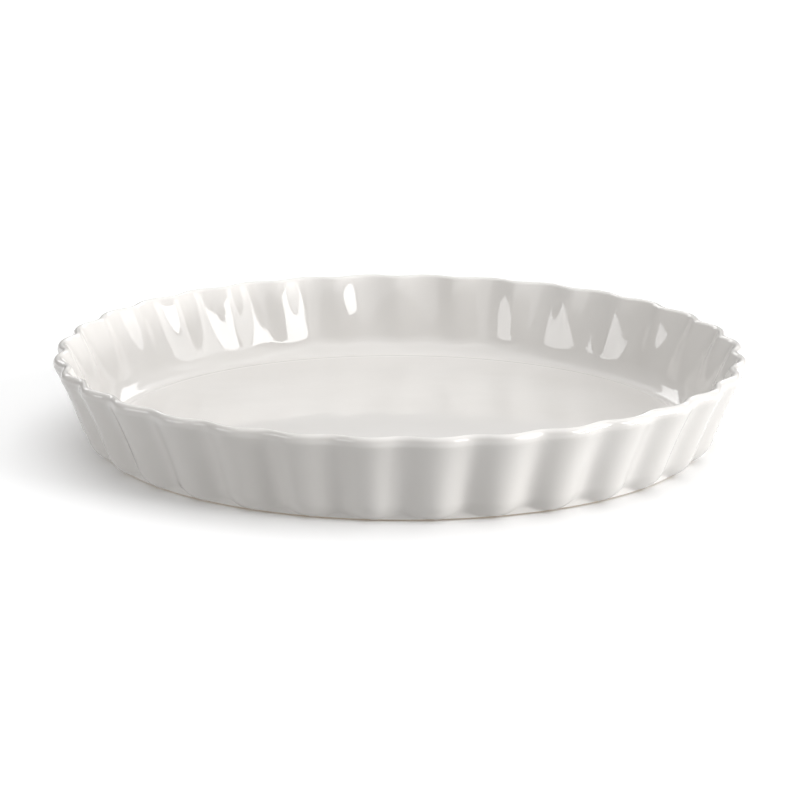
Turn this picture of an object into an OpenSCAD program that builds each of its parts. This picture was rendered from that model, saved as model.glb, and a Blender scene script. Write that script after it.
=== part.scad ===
// A round fluted tart dish in glazed stoneware, standing on a bare clay foot.
// The clay is one pressed piece. Fused glaze lies on it as two separate skins:
// one over the inside, the rim and the outer wall, and a patch inside the foot.
// Origin: centre of the foot, on the plane that the dish stands on. +Z is up.

/* [Overall] */
// Width across the rim, from flute crest to flute crest
overall_d = 300; // [280:1:330]
// Height from the table to the top of the rim
overall_h = 40; // [36:0.5:46]
// Diameter of the round band at the bottom that the flutes run out into
band_d = 260; // [248:1:262]

/* [Flutes] */
// Number of flutes round the wall
flutes = 32; // [24:4:40]
// Depth of a flute at the rim, from crest to hollow
rim_flute_depth = 3; // [1:0.1:4]
// Depth of a flute at the bottom of the wall, from crest to hollow
heel_flute_depth = 5; // [2:0.1:6]
// How much broader the crests are than the hollows
crest_breadth = 0.084; // [0:0.01:0.2]

/* [Wall] */
// Height of the rounded heel under each flute
heel_h = 9; // [7:0.5:11]
// How far the heel swells out over its height
heel_belly = 8.6; // [7:0.1:10]
// How far the heel is tucked in under the band at the very bottom
heel_tuck = 6; // [4:0.5:7]
// Extra outward sweep of the wall just under the rim
flare = 2; // [0:0.1:2.5]
// Thickness of the rounded rim
rim_t = 4.3; // [3.6:0.1:5]
// How far down the outside of the rim its rounding reaches
rim_drop = 3; // [2.2:0.1:4]
// Thickness of the wall where it meets the floor
wall_t = 5; // [4.4:0.1:6]

/* [Floor and foot] */
// Height of the inner floor above the table
floor_h = 6.5; // [5.5:0.5:8]
// Height of the cove between the inner floor and the wall
cove_h = 8; // [6:0.5:10]
// Depth of the recess under the floor, inside the foot ring
recess_h = 1.5; // [1:0.1:2]
// Width of the bare clay ring that touches the table
foot_w = 7; // [5:0.5:10]

/* [Glaze] */
// Thickness of the fused glaze
glaze_t = 0.4; // [0.3:0.05:0.6]
// Height of bare clay between the table and the edge of the glaze
bare_h = 0.8; // [0.5:0.1:1.2]

/* [Hidden] */

flute_steps = 6;                             // points round each flute
columns = flutes * flute_steps;              // points round the whole dish
heel_steps = 4;                              // rows up the heel
cove_steps = 2;                              // rows up the cove
lip_angles = [-30, 0, 45, 90, 120, 151];     // where rows lie over the rim, from outside to inside

rim_r = rim_t / 2;                           // half the thickness of the rim
rim_wave = rim_flute_depth / 2;
heel_wave = heel_flute_depth / 2;
lip_r = overall_d / 2 - rim_r - rim_wave;    // radius of the rim's middle, before the flutes
band_r = band_d / 2;
heel_r = band_r - heel_tuck;                 // radius of the heel on the table plane
wall_h = overall_h - rim_drop + rim_drop * sin(lip_angles[0]);    // where the rim's rounding starts
wall_top_r = lip_r + rim_r * cos(lip_angles[0]);
lean = (wall_top_r - flare - heel_belly - heel_r) / wall_h;       // outward run per mm of height
floor_inset = 5;                             // the inner floor ends this far inside the band
floor_r = band_r - floor_inset;              // radius of the flat inner floor
foot_bevel = 1;                              // the band rounds in by this much at the table
foot_r = band_r - foot_bevel;                // outer radius of the ring that touches the table
fade_h = 30;                                 // height over which the flutes grow inside
mid_z = 0.62 * wall_h;                       // a row part of the way up the wall
glaze_gap = 1.5;                             // bare clay left round the underside glaze
tiny = 0.001;                                // step used to measure a slope

bare_clay = [0.76, 0.66, 0.55];
warm_white = [0.93, 0.92, 0.90];
underside_white = [0.90, 0.88, 0.85];

// Flute shape round the dish: 1 on a crest, -1 in a hollow
function flute(a) = cos(a) + 2 * crest_breadth * sin(a) * sin(a);

// Half the flute depth outside at a height
function wave(z) = heel_wave + (rim_wave - heel_wave) * z / wall_h;

// 0 to 1 over a quarter of an ellipse
function quarter(u) = u >= 1 ? 1 : sqrt(1 - (1 - u) * (1 - u));

// 0 to 1 with soft ends
function ease(u) = u <= 0 ? 0 : u >= 1 ? 1 : u * u * (3 - 2 * u);

// Radius of the outside of the wall at a height, before the flutes
function outer_r(z) = heel_r + lean * z + heel_belly * quarter(z / heel_h)
    + flare * pow(z / wall_h, 3);

// Radius of the inside of the wall and the cove, before the flutes
function inner_r(z) = z >= cove_top
    ? cove_top_r + inner_lean * (z - cove_top) + inner_flare * pow((z - cove_top) / inner_h, 3)
    : floor_r + inner_lean * (z - floor_h) + cove_belly * quarter((z - floor_h) / cove_h);

// Outward run of each surface for each mm of height
function outer_slope(z) = (outer_r(z + tiny) - outer_r(z)) / tiny;
function inner_slope(z) = (inner_r(z + tiny) - inner_r(z)) / tiny;

// Where the wall joins the cove and the rounding of the rim, inside
cove_top = floor_h + cove_h;
cove_top_r = outer_r(cove_top) - wall_t;
lip_end = lip_angles[len(lip_angles) - 1];
inner_h = overall_h - rim_r + rim_r * sin(lip_end) - cove_top;
inner_flare = 0.6 * flare;
inner_lean = (lip_r + rim_r * cos(lip_end) - inner_flare - cove_top_r) / inner_h;
cove_belly = cove_top_r - floor_r - inner_lean * cove_h;

// A row round the dish: radius, height, half flute depth, least radius, tilt of the surface
function outer_row(z) = [outer_r(z), z, wave(z), band_r, -atan(outer_slope(z))];
function inner_row(z) = [inner_r(z), z, rim_wave * ease((z - floor_h) / fade_h), 0,
    180 + atan(-inner_slope(z))];

// The rim follows an ellipse outside and a circle inside, which meet on top
function lip_row(a) = a < 90
    ? [lip_r + rim_r * cos(a), overall_h - rim_drop + rim_drop * sin(a), rim_wave, 0,
        atan2(rim_r * sin(a), rim_drop * cos(a))]
    : [lip_r + rim_r * cos(a), overall_h - rim_r + rim_r * sin(a), rim_wave, 0, a];

// Every row of the glazed surface, from the glaze edge up the outside and down to the floor
rows = [
    [band_r, bare_h, 0, 0, 0],
    for (k = [2 : heel_steps]) outer_row(heel_h * (1 - cos(90 * k / heel_steps))),
    outer_row(mid_z),
    for (a = lip_angles) lip_row(a),
    inner_row(mid_z),
    for (k = [cove_steps : -1 : 1]) inner_row(floor_h + cove_h * (1 - cos(90 * k / cove_steps))),
    [floor_r, floor_h, 0, 0, 90]
];

// The same rows on the clay, one glaze thickness below the surface
clay_rows = [for (row = rows) [
    row[0] - glaze_t * cos(row[4]), row[1] - glaze_t * sin(row[4]), row[2],
    row[3] > 0 ? row[3] - glaze_t : 0, row[4]]];

// The bare foot and the recess under the floor
foot_rows = [
    [foot_r - foot_w - recess_h, recess_h, 0, 0, -90],
    [foot_r - foot_w, 0, 0, 0, -90],
    [foot_r, 0, 0, 0, -90]
];

// The points of one row
function ring(row) = [for (j = [0 : columns - 1])
    let (a = 360 * j / columns, r = max(row[0] + row[2] * flute(flutes * a), row[3]))
    [r * cos(a), r * sin(a), row[1]]];

function reversed(list) = [for (k = [len(list) - 1 : -1 : 0]) list[k]];

// A closed skin through rows that start and end on the axis, at heights z_start and z_end
module lathe_skin(list, z_start, z_end) {
    rings = [for (row = list) each ring(row)];
    last = len(list) - 1;
    start = len(rings);
    end = start + 1;
    points = concat(rings, [[0, 0, z_start], [0, 0, z_end]]);
    faces = [for (j = [0 : columns - 1])
        let (n = (j + 1) % columns)
        each [
            [start, j, n],
            [end, last * columns + n, last * columns + j],
            for (k = [0 : last - 1])
                let (a = k * columns + j, b = k * columns + n, c = a + columns, d = b + columns)
                each [[a, c, d], [a, d, b]]
        ]];
    polyhedron(points, faces, convexity = 8);
}

module stoneware_body() {
    color(bare_clay)
        lathe_skin(concat(foot_rows, clay_rows), recess_h, floor_h - glaze_t);
}

module glaze_coat() {
    color(warm_white)
        lathe_skin(concat(reversed(clay_rows), rows), floor_h - glaze_t, floor_h);
}

module underside_glaze() {
    color(underside_white)
        translate([0, 0, recess_h - glaze_t])
            cylinder(r = foot_r - foot_w - recess_h - glaze_gap, h = glaze_t, $fn = 96);
}

stoneware_body();
glaze_coat();
underside_glaze();
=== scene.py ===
"""A round fluted tart dish in white glazed stoneware, on a pale studio floor. Metres throughout."""

import math

import bpy
import numpy as np
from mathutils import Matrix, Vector

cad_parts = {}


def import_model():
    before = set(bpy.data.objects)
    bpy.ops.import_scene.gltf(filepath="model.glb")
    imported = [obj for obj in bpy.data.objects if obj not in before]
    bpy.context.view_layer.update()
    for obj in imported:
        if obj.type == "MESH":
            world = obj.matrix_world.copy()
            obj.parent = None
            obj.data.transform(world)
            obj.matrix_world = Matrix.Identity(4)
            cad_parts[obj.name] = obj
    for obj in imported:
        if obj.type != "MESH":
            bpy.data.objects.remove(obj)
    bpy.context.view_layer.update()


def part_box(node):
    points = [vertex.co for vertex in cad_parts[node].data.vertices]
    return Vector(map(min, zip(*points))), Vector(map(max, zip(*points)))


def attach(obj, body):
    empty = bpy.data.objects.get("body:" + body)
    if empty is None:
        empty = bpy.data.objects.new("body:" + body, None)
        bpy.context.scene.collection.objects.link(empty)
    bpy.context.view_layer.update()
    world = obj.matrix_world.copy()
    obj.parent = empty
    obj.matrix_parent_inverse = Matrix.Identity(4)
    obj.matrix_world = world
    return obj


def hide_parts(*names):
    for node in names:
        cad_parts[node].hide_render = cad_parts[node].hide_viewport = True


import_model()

# ---- sizes read from the frame ----
GLAZE_LOW, GLAZE_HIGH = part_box("glaze_coat")
CLAY_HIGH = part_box("stoneware_body")[1]
PATCH_LOW, PATCH_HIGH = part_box("underside_glaze")
RIM_RADIUS = GLAZE_HIGH.x
HEIGHT = GLAZE_HIGH.z
GLAZE = GLAZE_HIGH.z - CLAY_HIGH.z
BARE = GLAZE_LOW.z
RECESS = PATCH_HIGH.z
PATCH_RADIUS = PATCH_HIGH.x

# ---- sizes of the design that the frame's boxes don't hold ----
FLUTES = 32
RIM_WAVE = 0.0015
HEEL_WAVE = 0.0025
CREST_BREADTH = 0.084
BAND_RADIUS = 0.130
HEEL_HEIGHT = 0.009
HEEL_BELLY = 0.0086
HEEL_TUCK = 0.006
FLARE = 0.002
RIM_HALF = 0.00215
RIM_DROP = 0.003
WALL = 0.005
FLOOR_HEIGHT = 0.0065
FLOOR_INSET = 0.005
FLOOR_RADIUS = BAND_RADIUS - FLOOR_INSET
COVE_HEIGHT = 0.008
FADE_HEIGHT = 0.030
FOOT_BEVEL = 0.001
FOOT_WIDTH = 0.007

# ---- softer edges and finer detail than the CAD has ----
FOOT_EDGE = 0.0008    # rounding of the foot's edges
CREASE = 0.0006       # fillet where the flutes run out into the band
BEAD_WIDTH = 0.003    # ring where glaze has pooled at the floor's edge
BEAD_HEIGHT = 0.00012

# ---- mesh density ----
FLUTE_STEPS = 18
COLUMNS = FLUTES * FLUTE_STEPS
ANGLES = 2 * math.pi * np.arange(COLUMNS) / COLUMNS
CLAY_DETAIL = 2       # level of detail under the glaze
GLAZE_DETAIL = 3      # level of detail on the surface that shows
HEEL_ROWS = 7         # rows at each level of detail
WALL_ROWS = 5
LIP_ROWS = 7
COVE_ROWS = 6
FLOOR_ROWS = 2
BEAD_ROWS = 8         # rows in all
RECESS_ROWS = 12
FOOT_ROWS = 3
PATCH_ROWS = 16
PATCH_EDGE_ROWS = 5
HUB_RADIUS = 0.002    # the innermost row, round a fan of triangles
COVE_LAST = 0.05      # radians short of the floor where the cove's rows end

LIP_START = math.radians(-30)
LIP_END = math.radians(151)
LIP_RADIUS = RIM_RADIUS - RIM_HALF - RIM_WAVE
WALL_HEIGHT = HEIGHT - RIM_DROP + RIM_DROP * math.sin(LIP_START)
WALL_TOP_RADIUS = LIP_RADIUS + RIM_HALF * math.cos(LIP_START)
HEEL_RADIUS = BAND_RADIUS - HEEL_TUCK
LEAN = (WALL_TOP_RADIUS - FLARE - HEEL_BELLY - HEEL_RADIUS) / WALL_HEIGHT


def quarter(u):
    """0 to 1 over a quarter of an ellipse."""
    return math.sqrt(1 - (1 - min(u, 1)) ** 2)


def ease(u):
    """0 to 1 with soft ends."""
    u = min(max(u, 0), 1)
    return u * u * (3 - 2 * u)


def outer_radius(z):
    """Radius of the outside of the wall at a height, before the flutes."""
    belly = HEEL_BELLY * quarter(z / HEEL_HEIGHT)
    return HEEL_RADIUS + LEAN * z + belly + FLARE * (z / WALL_HEIGHT) ** 3


COVE_TOP = FLOOR_HEIGHT + COVE_HEIGHT
COVE_TOP_RADIUS = outer_radius(COVE_TOP) - WALL
INNER_TOP = HEIGHT - RIM_HALF + RIM_HALF * math.sin(LIP_END)
INNER_HEIGHT = INNER_TOP - COVE_TOP
INNER_FLARE = 0.6 * FLARE
INNER_TOP_RADIUS = LIP_RADIUS + RIM_HALF * math.cos(LIP_END)
INNER_LEAN = (INNER_TOP_RADIUS - INNER_FLARE - COVE_TOP_RADIUS) / INNER_HEIGHT
COVE_BELLY = COVE_TOP_RADIUS - FLOOR_RADIUS - INNER_LEAN * COVE_HEIGHT


def inner_radius(z):
    """Radius of the inside of the wall and the cove, before the flutes."""
    if z >= COVE_TOP:
        rise = z - COVE_TOP
        return COVE_TOP_RADIUS + INNER_LEAN * rise + INNER_FLARE * (rise / INNER_HEIGHT) ** 3
    rise = z - FLOOR_HEIGHT
    return FLOOR_RADIUS + INNER_LEAN * rise + COVE_BELLY * quarter(rise / COVE_HEIGHT)


def wave(z):
    """Half the flute depth outside at a height."""
    return HEEL_WAVE + (RIM_WAVE - HEEL_WAVE) * z / WALL_HEIGHT


def outer_row(z):
    """A row outside, at a height. Rows are (radius, height, half flute depth, least radius)."""
    return (outer_radius(z), z, wave(z), BAND_RADIUS)


def inner_row(z):
    """A row inside, where the flutes fade away down to the floor."""
    return (inner_radius(z), z, RIM_WAVE * ease((z - FLOOR_HEIGHT) / FADE_HEIGHT), 0)


def lip_row(a):
    """A row over the rim: an ellipse outside and a circle inside, which meet on top."""
    drop = RIM_DROP if a < math.pi / 2 else RIM_HALF
    return (LIP_RADIUS + RIM_HALF * math.cos(a), HEIGHT - drop + drop * math.sin(a), RIM_WAVE, 0)


def steps(start, end, count):
    """count values after start, up to and including end."""
    return [start + (end - start) * (k + 1) / count for k in range(count)]


def bead_rows(height):
    """The ring of pooled glaze round the edge of the floor."""
    return [(FLOOR_RADIUS - BEAD_WIDTH * u, FLOOR_HEIGHT + height * math.sin(math.pi * u) ** 2, 0, 0)
            for u in steps(0, 1, BEAD_ROWS)]


def surface_rows(detail, bead=0.0):
    """Rows of the glazed surface, from the glaze edge up the outside, over the rim and down to the
    middle of the floor. bead is the height of the ring of pooled glaze."""
    heel_start = math.acos(1 - BARE / HEEL_HEIGHT)
    heel = steps(heel_start, math.pi / 2, HEEL_ROWS * detail)
    cove = steps(math.pi / 2, COVE_LAST, COVE_ROWS * detail)
    rows = [(BAND_RADIUS, BARE, 0, 0)]
    rows += [outer_row(HEEL_HEIGHT * (1 - math.cos(a))) for a in heel]
    rows += [outer_row(z) for z in steps(HEEL_HEIGHT, WALL_HEIGHT, WALL_ROWS * detail)]
    rows += [lip_row(a) for a in steps(LIP_START, LIP_END, LIP_ROWS * detail)]
    rows += [inner_row(z) for z in steps(INNER_TOP, COVE_TOP, WALL_ROWS * detail)]
    rows += [inner_row(FLOOR_HEIGHT + COVE_HEIGHT * (1 - math.cos(a))) for a in cove]
    if bead:
        rows += bead_rows(bead)
    flat_radius = FLOOR_RADIUS - BEAD_WIDTH
    rows += [(r, FLOOR_HEIGHT, 0, 0) for r in steps(flat_radius, HUB_RADIUS, FLOOR_ROWS * detail)]
    return rows


def blended_max(a, b, width):
    """The larger of a and b, with a fillet of about that width where they cross."""
    return (a + b + np.sqrt((a - b) ** 2 + width ** 2)) / 2


def flute(angles):
    """Flute shape round the dish: 1 on a crest, -1 in a hollow."""
    return np.cos(angles) + 2 * CREST_BREADTH * np.sin(angles) ** 2


def ring(row):
    """The points of one row."""
    radius, z, depth, least = row
    r = radius + depth * flute(FLUTES * ANGLES)
    if least:
        r = blended_max(r, least, CREASE) if depth else np.full(COLUMNS, least)
    return np.column_stack([r * np.cos(ANGLES), r * np.sin(ANGLES), np.full(COLUMNS, z)])


def sunk(rows):
    """The rows one glaze thickness under a surface."""
    profile = np.array([row[:2] for row in rows])
    along = np.gradient(profile, axis=0)
    normal = np.column_stack([along[:, 1], -along[:, 0]])
    normal /= np.linalg.norm(normal, axis=1)[:, None]
    normal[0] = (1, 0)
    normal[-1] = (0, 1)
    return [(radius - GLAZE * out, z - GLAZE * up, depth, least and least - GLAZE)
            for (radius, z, depth, least), (out, up) in zip(rows, normal)]


def lathe(name, rows, start_z, end_z, material):
    """A closed skin through rows, shut at both ends by a fan round a point on the axis."""
    rings = np.vstack([ring(row) for row in rows])
    points = np.vstack([rings, [[0, 0, start_z], [0, 0, end_z]]])
    start, end = len(rings), len(rings) + 1
    last = (len(rows) - 1) * COLUMNS
    j = np.arange(COLUMNS)
    n = (j + 1) % COLUMNS
    quads = [np.column_stack([k + j, k + n, k + COLUMNS + n, k + COLUMNS + j])
             for k in range(0, last, COLUMNS)]
    faces = np.vstack(quads).tolist()
    faces += np.column_stack([n, j, np.full(COLUMNS, start)]).tolist()
    faces += np.column_stack([last + j, last + n, np.full(COLUMNS, end)]).tolist()
    mesh = bpy.data.meshes.new(name)
    mesh.from_pydata(points.tolist(), [], faces)
    mesh.polygons.foreach_set("use_smooth", [True] * len(mesh.polygons))
    mesh.materials.append(material)
    piece = bpy.data.objects.new(name, mesh)
    bpy.context.collection.objects.link(piece)
    return piece


def foot_rows():
    """The recess under the floor and the bare foot, out to the glaze edge."""
    foot_radius = BAND_RADIUS - FOOT_BEVEL
    foot_inner = foot_radius - FOOT_WIDTH
    lift = FOOT_EDGE / 3
    rows = [(r, RECESS, 0, 0) for r in steps(HUB_RADIUS, foot_inner - RECESS, RECESS_ROWS)]
    rows += [(foot_inner - RECESS / 2, RECESS / 2, 0, 0), (foot_inner - lift, lift, 0, 0)]
    rows += [(r, 0, 0, 0) for r in steps(foot_inner, foot_radius - FOOT_EDGE, FOOT_ROWS)]
    rows += [(foot_radius, lift, 0, 0)]
    return rows


def patch_rows():
    """The glaze patch inside the foot ring, a disc with a soft lower edge."""
    thick = PATCH_HIGH.z - PATCH_LOW.z
    flat = PATCH_RADIUS - thick
    rows = [(r, PATCH_LOW.z, 0, 0) for r in steps(HUB_RADIUS, flat, PATCH_ROWS)]
    rows += [(flat + thick * math.sin(a), PATCH_HIGH.z - thick * math.cos(a), 0, 0)
             for a in steps(0, math.pi / 2, PATCH_EDGE_ROWS)]
    return rows


# ---- material nodes ----
def grey(level):
    return (level, level, level)


BLACK = grey(0)
WHITE = grey(1)


def new_material(name, color, roughness):
    """A material, and its shader. The colour and roughness hold where no texture is linked in."""
    material = bpy.data.materials.new(name)
    material.use_nodes = True
    shader = material.node_tree.nodes["Principled BSDF"]
    shader.inputs["Base Color"].default_value = (*color, 1)
    shader.inputs["Roughness"].default_value = roughness
    return material, shader


def position(material):
    """Object coordinates, which are metres in the dish's own frame."""
    return material.node_tree.nodes.new("ShaderNodeTexCoord").outputs["Object"]


def noise(material, scale, detail=2.0):
    """Noise from 0 to 1, with about scale blotches to the metre."""
    tree = material.node_tree
    node = tree.nodes.new("ShaderNodeTexNoise")
    node.inputs["Scale"].default_value = scale
    node.inputs["Detail"].default_value = detail
    tree.links.new(position(material), node.inputs["Vector"])
    return node.outputs["Fac"]


def ramp(material, value, stops):
    """value mapped through two (place, colour) stops."""
    tree = material.node_tree
    node = tree.nodes.new("ShaderNodeValToRGB")
    for element, (place, color) in zip(node.color_ramp.elements, stops):
        element.position = place
        element.color = (*color, 1)
    tree.links.new(value, node.inputs["Fac"])
    return node.outputs["Color"]


def bump(material, height, distance, strength, after=None):
    """A bumped normal, on top of the normal after if there is one."""
    tree = material.node_tree
    node = tree.nodes.new("ShaderNodeBump")
    node.inputs["Distance"].default_value = distance
    node.inputs["Strength"].default_value = strength
    tree.links.new(height, node.inputs["Height"])
    if after:
        tree.links.new(after, node.inputs["Normal"])
    return node.outputs["Normal"]


def pinholes(material, scale, size):
    """Small round pits, a few of them to a hand's breadth."""
    tree = material.node_tree
    cells = tree.nodes.new("ShaderNodeTexVoronoi")
    cells.inputs["Scale"].default_value = scale
    tree.links.new(position(material), cells.inputs["Vector"])
    return ramp(material, cells.outputs["Distance"], [(0, BLACK), (size, WHITE)])


def glaze_material(name, light, dark):
    """Opaque glossy glaze with faint mottling, a slow wobble, fine orange peel and a few pinholes."""
    material, shader = new_material(name, light, roughness=0.07)
    tree = material.node_tree
    mottling = ramp(material, noise(material, scale=14, detail=3), [(0.35, dark), (0.65, light)])
    gloss = ramp(material, noise(material, scale=40), [(0.3, grey(0.03)), (0.7, grey(0.055))])
    tree.links.new(mottling, shader.inputs["Base Color"])
    tree.links.new(gloss, shader.inputs["Roughness"])
    shader.inputs["IOR"].default_value = 1.52
    waves = noise(material, scale=45, detail=1)
    wobble = bump(material, waves, distance=0.0006, strength=0.25)
    grain = noise(material, scale=700, detail=1)
    peel = bump(material, grain, distance=0.00004, strength=0.35, after=wobble)
    holes = pinholes(material, scale=90, size=0.03)
    pits = bump(material, holes, distance=0.0002, strength=0.6, after=peel)
    tree.links.new(pits, shader.inputs["Normal"])
    return material


def clay_material(name):
    """Bare fired clay: matt, gritty and speckled."""
    light = (0.50, 0.42, 0.33)
    dark = (0.40, 0.33, 0.25)
    speck = (0.22, 0.17, 0.12)
    material, shader = new_material(name, light, roughness=0.85)
    tree = material.node_tree
    body = ramp(material, noise(material, scale=160, detail=4), [(0.3, dark), (0.7, light)])
    specks = ramp(material, noise(material, scale=1500), [(0.66, BLACK), (0.74, WHITE)])
    mix = tree.nodes.new("ShaderNodeMix")
    mix.data_type = "RGBA"
    tree.links.new(specks, mix.inputs["Factor"])
    tree.links.new(body, mix.inputs["A"])
    mix.inputs["B"].default_value = (*speck, 1)
    matt = ramp(material, noise(material, scale=300), [(0.3, grey(0.75)), (0.7, grey(0.95))])
    grit = bump(material, noise(material, scale=1800, detail=4), distance=0.00012, strength=0.8)
    tree.links.new(mix.outputs["Result"], shader.inputs["Base Color"])
    tree.links.new(matt, shader.inputs["Roughness"])
    tree.links.new(grit, shader.inputs["Normal"])
    return material


# ---- the dish ----
white_glaze = glaze_material("white_glaze", (0.69, 0.672, 0.65), (0.67, 0.65, 0.625))
thin_glaze = glaze_material("thin_glaze", (0.76, 0.74, 0.705), (0.71, 0.685, 0.645))
bare_clay = clay_material("bare_clay")

interface = sunk(surface_rows(CLAY_DETAIL))
glaze_rows = interface[::-1] + surface_rows(GLAZE_DETAIL, BEAD_HEIGHT)
glaze = lathe("glaze", glaze_rows, FLOOR_HEIGHT - GLAZE, FLOOR_HEIGHT, white_glaze)
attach(glaze, "root")
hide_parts("glaze_coat")

clay = lathe("clay_body", foot_rows() + interface, RECESS, FLOOR_HEIGHT - GLAZE, bare_clay)
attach(clay, "root")
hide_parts("stoneware_body")

patch = lathe("underside_patch", patch_rows(), PATCH_LOW.z, PATCH_HIGH.z, thin_glaze)
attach(patch, "root")
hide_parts("underside_glaze")

# ---- the studio ----
# Directions are measured from the camera's side of the dish: 0 towards the camera, 90 to its right.
CAMERA_TURN = math.radians(5.11)
CAMERA_ROLL = math.radians(0.26)
CAMERA_ELEVATION = 13.84    # degrees
CAMERA_DISTANCE = 1.784
AIM_DROP = 0.0205           # how far under the middle of the rim the camera aims
FOCAL_LENGTH = 185.2        # mm
SENSOR_WIDTH = 36           # mm
LAMP_DISTANCE = 5.0
FLOOR_HALF = 6
HORIZON = 0.05              # half the height of the soft step between the sky and the table's bounce
RIM_CENTRE = Vector((0, 0, HEIGHT - RIM_HALF))
DISH_CENTRE = Vector((0, 0, HEIGHT / 2))


def studio_point(azimuth, elevation, distance, centre):
    """The point in a direction, in degrees, and at a distance from centre."""
    a = math.radians(azimuth - 90) + CAMERA_TURN
    e = math.radians(elevation)
    direction = Vector((math.cos(e) * math.cos(a), math.cos(e) * math.sin(a), math.sin(e)))
    return centre + distance * direction


def look_at(thing, target, roll=0.0):
    thing.rotation_euler = (target - thing.location).to_track_quat("-Z", "Y").to_euler()
    thing.rotation_euler.rotate_axis("Z", roll)


def softbox(name, azimuth, elevation, spread, rise, radiance):
    """A flat lamp facing the dish, spread degrees wide and rise degrees high as the dish sees it."""
    lamp = bpy.data.lights.new(name, "AREA")
    lamp.shape = "RECTANGLE"
    lamp.size = 2 * LAMP_DISTANCE * math.tan(math.radians(spread / 2))
    lamp.size_y = 2 * LAMP_DISTANCE * math.tan(math.radians(rise / 2))
    lamp.energy = math.pi * radiance * lamp.size * lamp.size_y
    thing = bpy.data.objects.new(name, lamp)
    bpy.context.collection.objects.link(thing)
    thing.location = studio_point(azimuth, elevation, LAMP_DISTANCE, DISH_CENTRE)
    look_at(thing, DISH_CENTRE)


def camera():
    lens = bpy.data.cameras.new("camera")
    lens.sensor_width = SENSOR_WIDTH
    lens.lens = FOCAL_LENGTH
    thing = bpy.data.objects.new("camera", lens)
    bpy.context.collection.objects.link(thing)
    thing.location = studio_point(0, CAMERA_ELEVATION, CAMERA_DISTANCE, RIM_CENTRE)
    look_at(thing, RIM_CENTRE - Vector((0, 0, AIM_DROP)), CAMERA_ROLL)
    bpy.context.scene.camera = thing


def floor():
    """A wide pale floor. It is hidden from diffuse rays: world() gives the light it would bounce."""
    corners = [(-FLOOR_HALF, -FLOOR_HALF, 0), (FLOOR_HALF, -FLOOR_HALF, 0),
               (FLOOR_HALF, FLOOR_HALF, 0), (-FLOOR_HALF, FLOOR_HALF, 0)]
    mesh = bpy.data.meshes.new("studio_floor")
    mesh.from_pydata(corners, [], [(0, 1, 2, 3)])
    material, shader = new_material("studio_floor", grey(0.96), roughness=0.9)
    shader.inputs["Specular IOR Level"].default_value = 0
    mesh.materials.append(material)
    thing = bpy.data.objects.new("studio_floor", mesh)
    bpy.context.collection.objects.link(thing)
    thing.visible_diffuse = False


def world(sky_light, bounce_light):
    """Even light from above, and the light that a pale table sends up from below."""
    sky = bpy.data.worlds.new("studio")
    bpy.context.scene.world = sky
    sky.use_nodes = True
    tree = sky.node_tree
    background = tree.nodes["Background"]
    background.inputs["Color"].default_value = (1, 0.995, 0.985, 1)
    direction = tree.nodes.new("ShaderNodeTexCoord")
    split = tree.nodes.new("ShaderNodeSeparateXYZ")
    blend = tree.nodes.new("ShaderNodeMapRange")
    blend.inputs["From Min"].default_value = -HORIZON
    blend.inputs["From Max"].default_value = HORIZON
    blend.inputs["To Min"].default_value = bounce_light
    blend.inputs["To Max"].default_value = sky_light
    tree.links.new(direction.outputs["Generated"], split.inputs["Vector"])
    tree.links.new(split.outputs["Z"], blend.inputs["Value"])
    tree.links.new(blend.outputs["Result"], background.inputs["Strength"])


# Each lamp: name, azimuth, elevation, spread and rise in degrees, radiance
LAMPS = [
    ("low_right", 80, 2.2, 50, 4, 18),
    ("spot_right", 84, 1.7, 8, 3.2, 120),
    ("window_front", 58, 24, 22, 22, 8),
    ("window_side", 84, 24, 22, 22, 3),
    ("panel_left", -66, 20, 46, 15, 3.9),
    ("low_back", 180, 17, 60, 8, 0.5),
    ("rim_light", 180, 29, 80, 10, 3),
    ("high_right", 95, 50, 40, 30, 1.1),
    ("high_back", 180, 50, 60, 30, 1),
    ("high_front", 0, 55, 70, 30, 0.85),
    ("top", 0, 87, 60, 60, 1.5),
]

camera()
floor()
world(sky_light=0.03, bounce_light=0.66)
for settings in LAMPS:
    softbox(*settings)
bpy.context.scene.view_settings.view_transform = "Standard"
